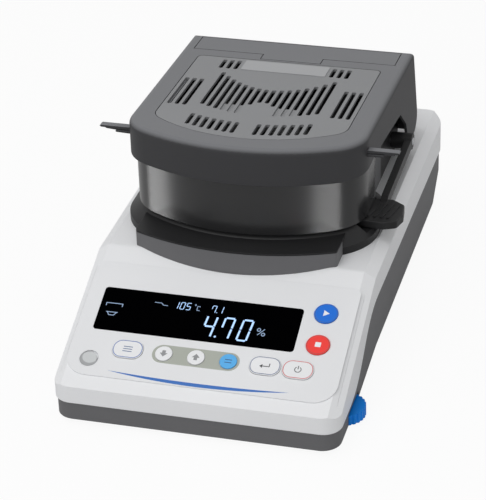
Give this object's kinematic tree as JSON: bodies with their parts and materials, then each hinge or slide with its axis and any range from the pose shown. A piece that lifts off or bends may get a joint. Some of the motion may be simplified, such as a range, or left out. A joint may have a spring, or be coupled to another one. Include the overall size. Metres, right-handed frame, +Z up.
{
  "type": "moisture analyzer",
  "caption": "Moisture analyzer: weighing base with a sloped keypad and display, hinged vented heating cover over a sample pan, side lifting arm and levelling feet",
  "frame": {"origin": "ground plane under the middle of the instrument", "axes": "+X to the right seen from the operator, +Y to the back, +Z up"},
  "size_m": [0.23, 0.392, 0.1694],
  "materials": {
    "grey_abs": "moulded ABS, fine texture",
    "white_abs": "moulded ABS, fine texture",
    "overlay_film": "printed polyester film, matt",
    "smoked_window": "smoked acrylic, polished",
    "display_glass": "vacuum fluorescent display glass",
    "circuit_board": "solder mask over glass fibre",
    "switch_black": "moulded nylon",
    "clear_plastic": "clear acrylic",
    "black_plastic": "moulded PBT, satin",
    "dark_grey_abs": "moulded heat-resistant plastic, fine texture",
    "mid_grey_abs": "moulded heat-resistant plastic, satin",
    "vent_grey_abs": "moulded heat-resistant plastic, satin",
    "polished_aluminium": "polished sheet",
    "cast_aluminium": "machined",
    "plated_steel": "zinc plated",
    "transformer_steel": "varnished laminations",
    "foot_rubber": "moulded rubber",
    "label_foil": "bare foil label",
    "gloss_black": "gloss heat-resistant plastic",
    "lamp_glass": "quartz tube",
    "white_ceramic": "unglazed steatite",
    "clear_glass": "tempered glass",
    "pan_aluminium": "pressed foil",
    "key_blue": "printed film cap",
    "key_red": "printed film cap",
    "key_light_blue": "printed film cap",
    "key_white": "printed film cap",
    "foot_blue": "moulded nylon"
  },
  "bodies": {
    "base": {"bottom_case": "grey_abs", "top_housing": "white_abs", "panel_overlay": "overlay_film", "display_window": "smoked_window", "vfd_tube": "display_glass", "display_board": "circuit_board", "key_board": "circuit_board", "key_switches": "switch_black", "level_cup": "white_abs", "level_vial": "clear_plastic", "chamber_base": "black_plastic", "chamber_apron": "dark_grey_abs", "heat_shield": "polished_aluminium", "draft_ring": "polished_aluminium", "rear_tower": "mid_grey_abs", "hinge_housing": "black_plastic", "hinge_bracket": "plated_steel", "hinge_pin": "plated_steel", "lift_pivot_pin": "plated_steel", "load_cell_bracket": "cast_aluminium", "load_cell": "cast_aluminium", "pan_post": "plated_steel", "pan_support": "plated_steel", "main_board": "circuit_board", "power_board": "circuit_board", "transformer": "transformer_steel", "ac_inlet": "black_plastic", "inlet_pins": "plated_steel", "serial_port": "plated_steel", "usb_port": "plated_steel", "rear_feet": "foot_rubber"},
    "cover": {"cover_shell": "dark_grey_abs", "vent_plate": "vent_grey_abs", "rear_cap": "dark_grey_abs", "label_plate": "label_foil", "grip_left": "dark_grey_abs", "grip_right": "dark_grey_abs", "cover_skirt": "gloss_black", "heater_carrier": "polished_aluminium", "reflector": "polished_aluminium", "lamp_tubes": "lamp_glass", "lamp_holders": "white_ceramic", "glass_retainer": "plated_steel", "filter_glass": "clear_glass", "temperature_sensor": "plated_steel"},
    "lifting_arm": {"lift_arm": "black_plastic"},
    "holder": {"pan_holder": "polished_aluminium"},
    "pan": {"sample_pan": "pan_aluminium"},
    "left_foot": {"foot_wheel_left": "foot_blue", "foot_pad_left": "foot_rubber"},
    "right_foot": {"foot_wheel_right": "foot_blue", "foot_pad_right": "foot_rubber"},
    "key_start_body": {"key_start": "key_blue"},
    "key_stop_body": {"key_stop": "key_red"},
    "key_down_body": {"key_down": "key_white"},
    "key_up_body": {"key_up": "key_white"},
    "key_select_body": {"key_select": "key_light_blue"},
    "key_program_body": {"key_program": "key_white"},
    "key_print_body": {"key_print": "key_white"},
    "key_power_body": {"key_power": "key_white"}
  },
  "joints": [
    {"name": "cover_hinge", "type": "hinge", "parent": "base", "child": "cover", "pos_m": [0, 0.1455, 0.097], "axis": [-1, 0, 0], "range_deg": [0, 80]},
    {"name": "arm_lift", "type": "hinge", "parent": "base", "child": "lifting_arm", "pos_m": [0.09, 0.104, 0.098], "axis": [-1, 0, 0], "range_deg": [0, 4]},
    {"name": "holder_lift", "type": "slide", "parent": "base", "child": "holder", "axis": [0, 0, 1], "range_m": [0, 0.0079]},
    {"name": "pan_lift_out", "type": "slide", "parent": "holder", "child": "pan", "axis": [0, 0, 1], "range_m": [0, 0.012]},
    {"name": "left_foot_turn", "type": "hinge", "parent": "base", "child": "left_foot", "pos_m": [-0.098, -0.144, 0.005], "axis": [0, 0, 1], "range_deg": [-180, 180]},
    {"name": "right_foot_turn", "type": "hinge", "parent": "base", "child": "right_foot", "pos_m": [0.098, -0.144, 0.005], "axis": [0, 0, 1], "range_deg": [-180, 180]},
    {"name": "key_start_press", "type": "slide", "parent": "base", "child": "key_start_body", "axis": [0, 0.373, -0.9278], "range_m": [0, 0.0005], "stiffness_N_per_m": 300},
    {"name": "key_stop_press", "type": "slide", "parent": "base", "child": "key_stop_body", "axis": [0, 0.373, -0.9278], "range_m": [0, 0.0005], "stiffness_N_per_m": 300},
    {"name": "key_down_press", "type": "slide", "parent": "base", "child": "key_down_body", "axis": [0, 0.373, -0.9278], "range_m": [0, 0.0005], "stiffness_N_per_m": 300},
    {"name": "key_up_press", "type": "slide", "parent": "base", "child": "key_up_body", "axis": [0, 0.373, -0.9278], "range_m": [0, 0.0005], "stiffness_N_per_m": 300},
    {"name": "key_select_press", "type": "slide", "parent": "base", "child": "key_select_body", "axis": [0, 0.373, -0.9278], "range_m": [0, 0.0005], "stiffness_N_per_m": 300},
    {"name": "key_program_press", "type": "slide", "parent": "base", "child": "key_program_body", "axis": [0, 0.373, -0.9278], "range_m": [0, 0.0005], "stiffness_N_per_m": 300},
    {"name": "key_print_press", "type": "slide", "parent": "base", "child": "key_print_body", "axis": [0, 0.373, -0.9278], "range_m": [0, 0.0005], "stiffness_N_per_m": 300},
    {"name": "key_power_press", "type": "slide", "parent": "base", "child": "key_power_body", "axis": [0, 0.373, -0.9278], "range_m": [0, 0.0005], "stiffness_N_per_m": 300}
  ],
  "couplings": [
    {"joint": "arm_lift", "follows": "cover_hinge", "ratio": 0.05},
    {"joint": "holder_lift", "follows": "cover_hinge", "m_per_rad": 0.0056}
  ]
}
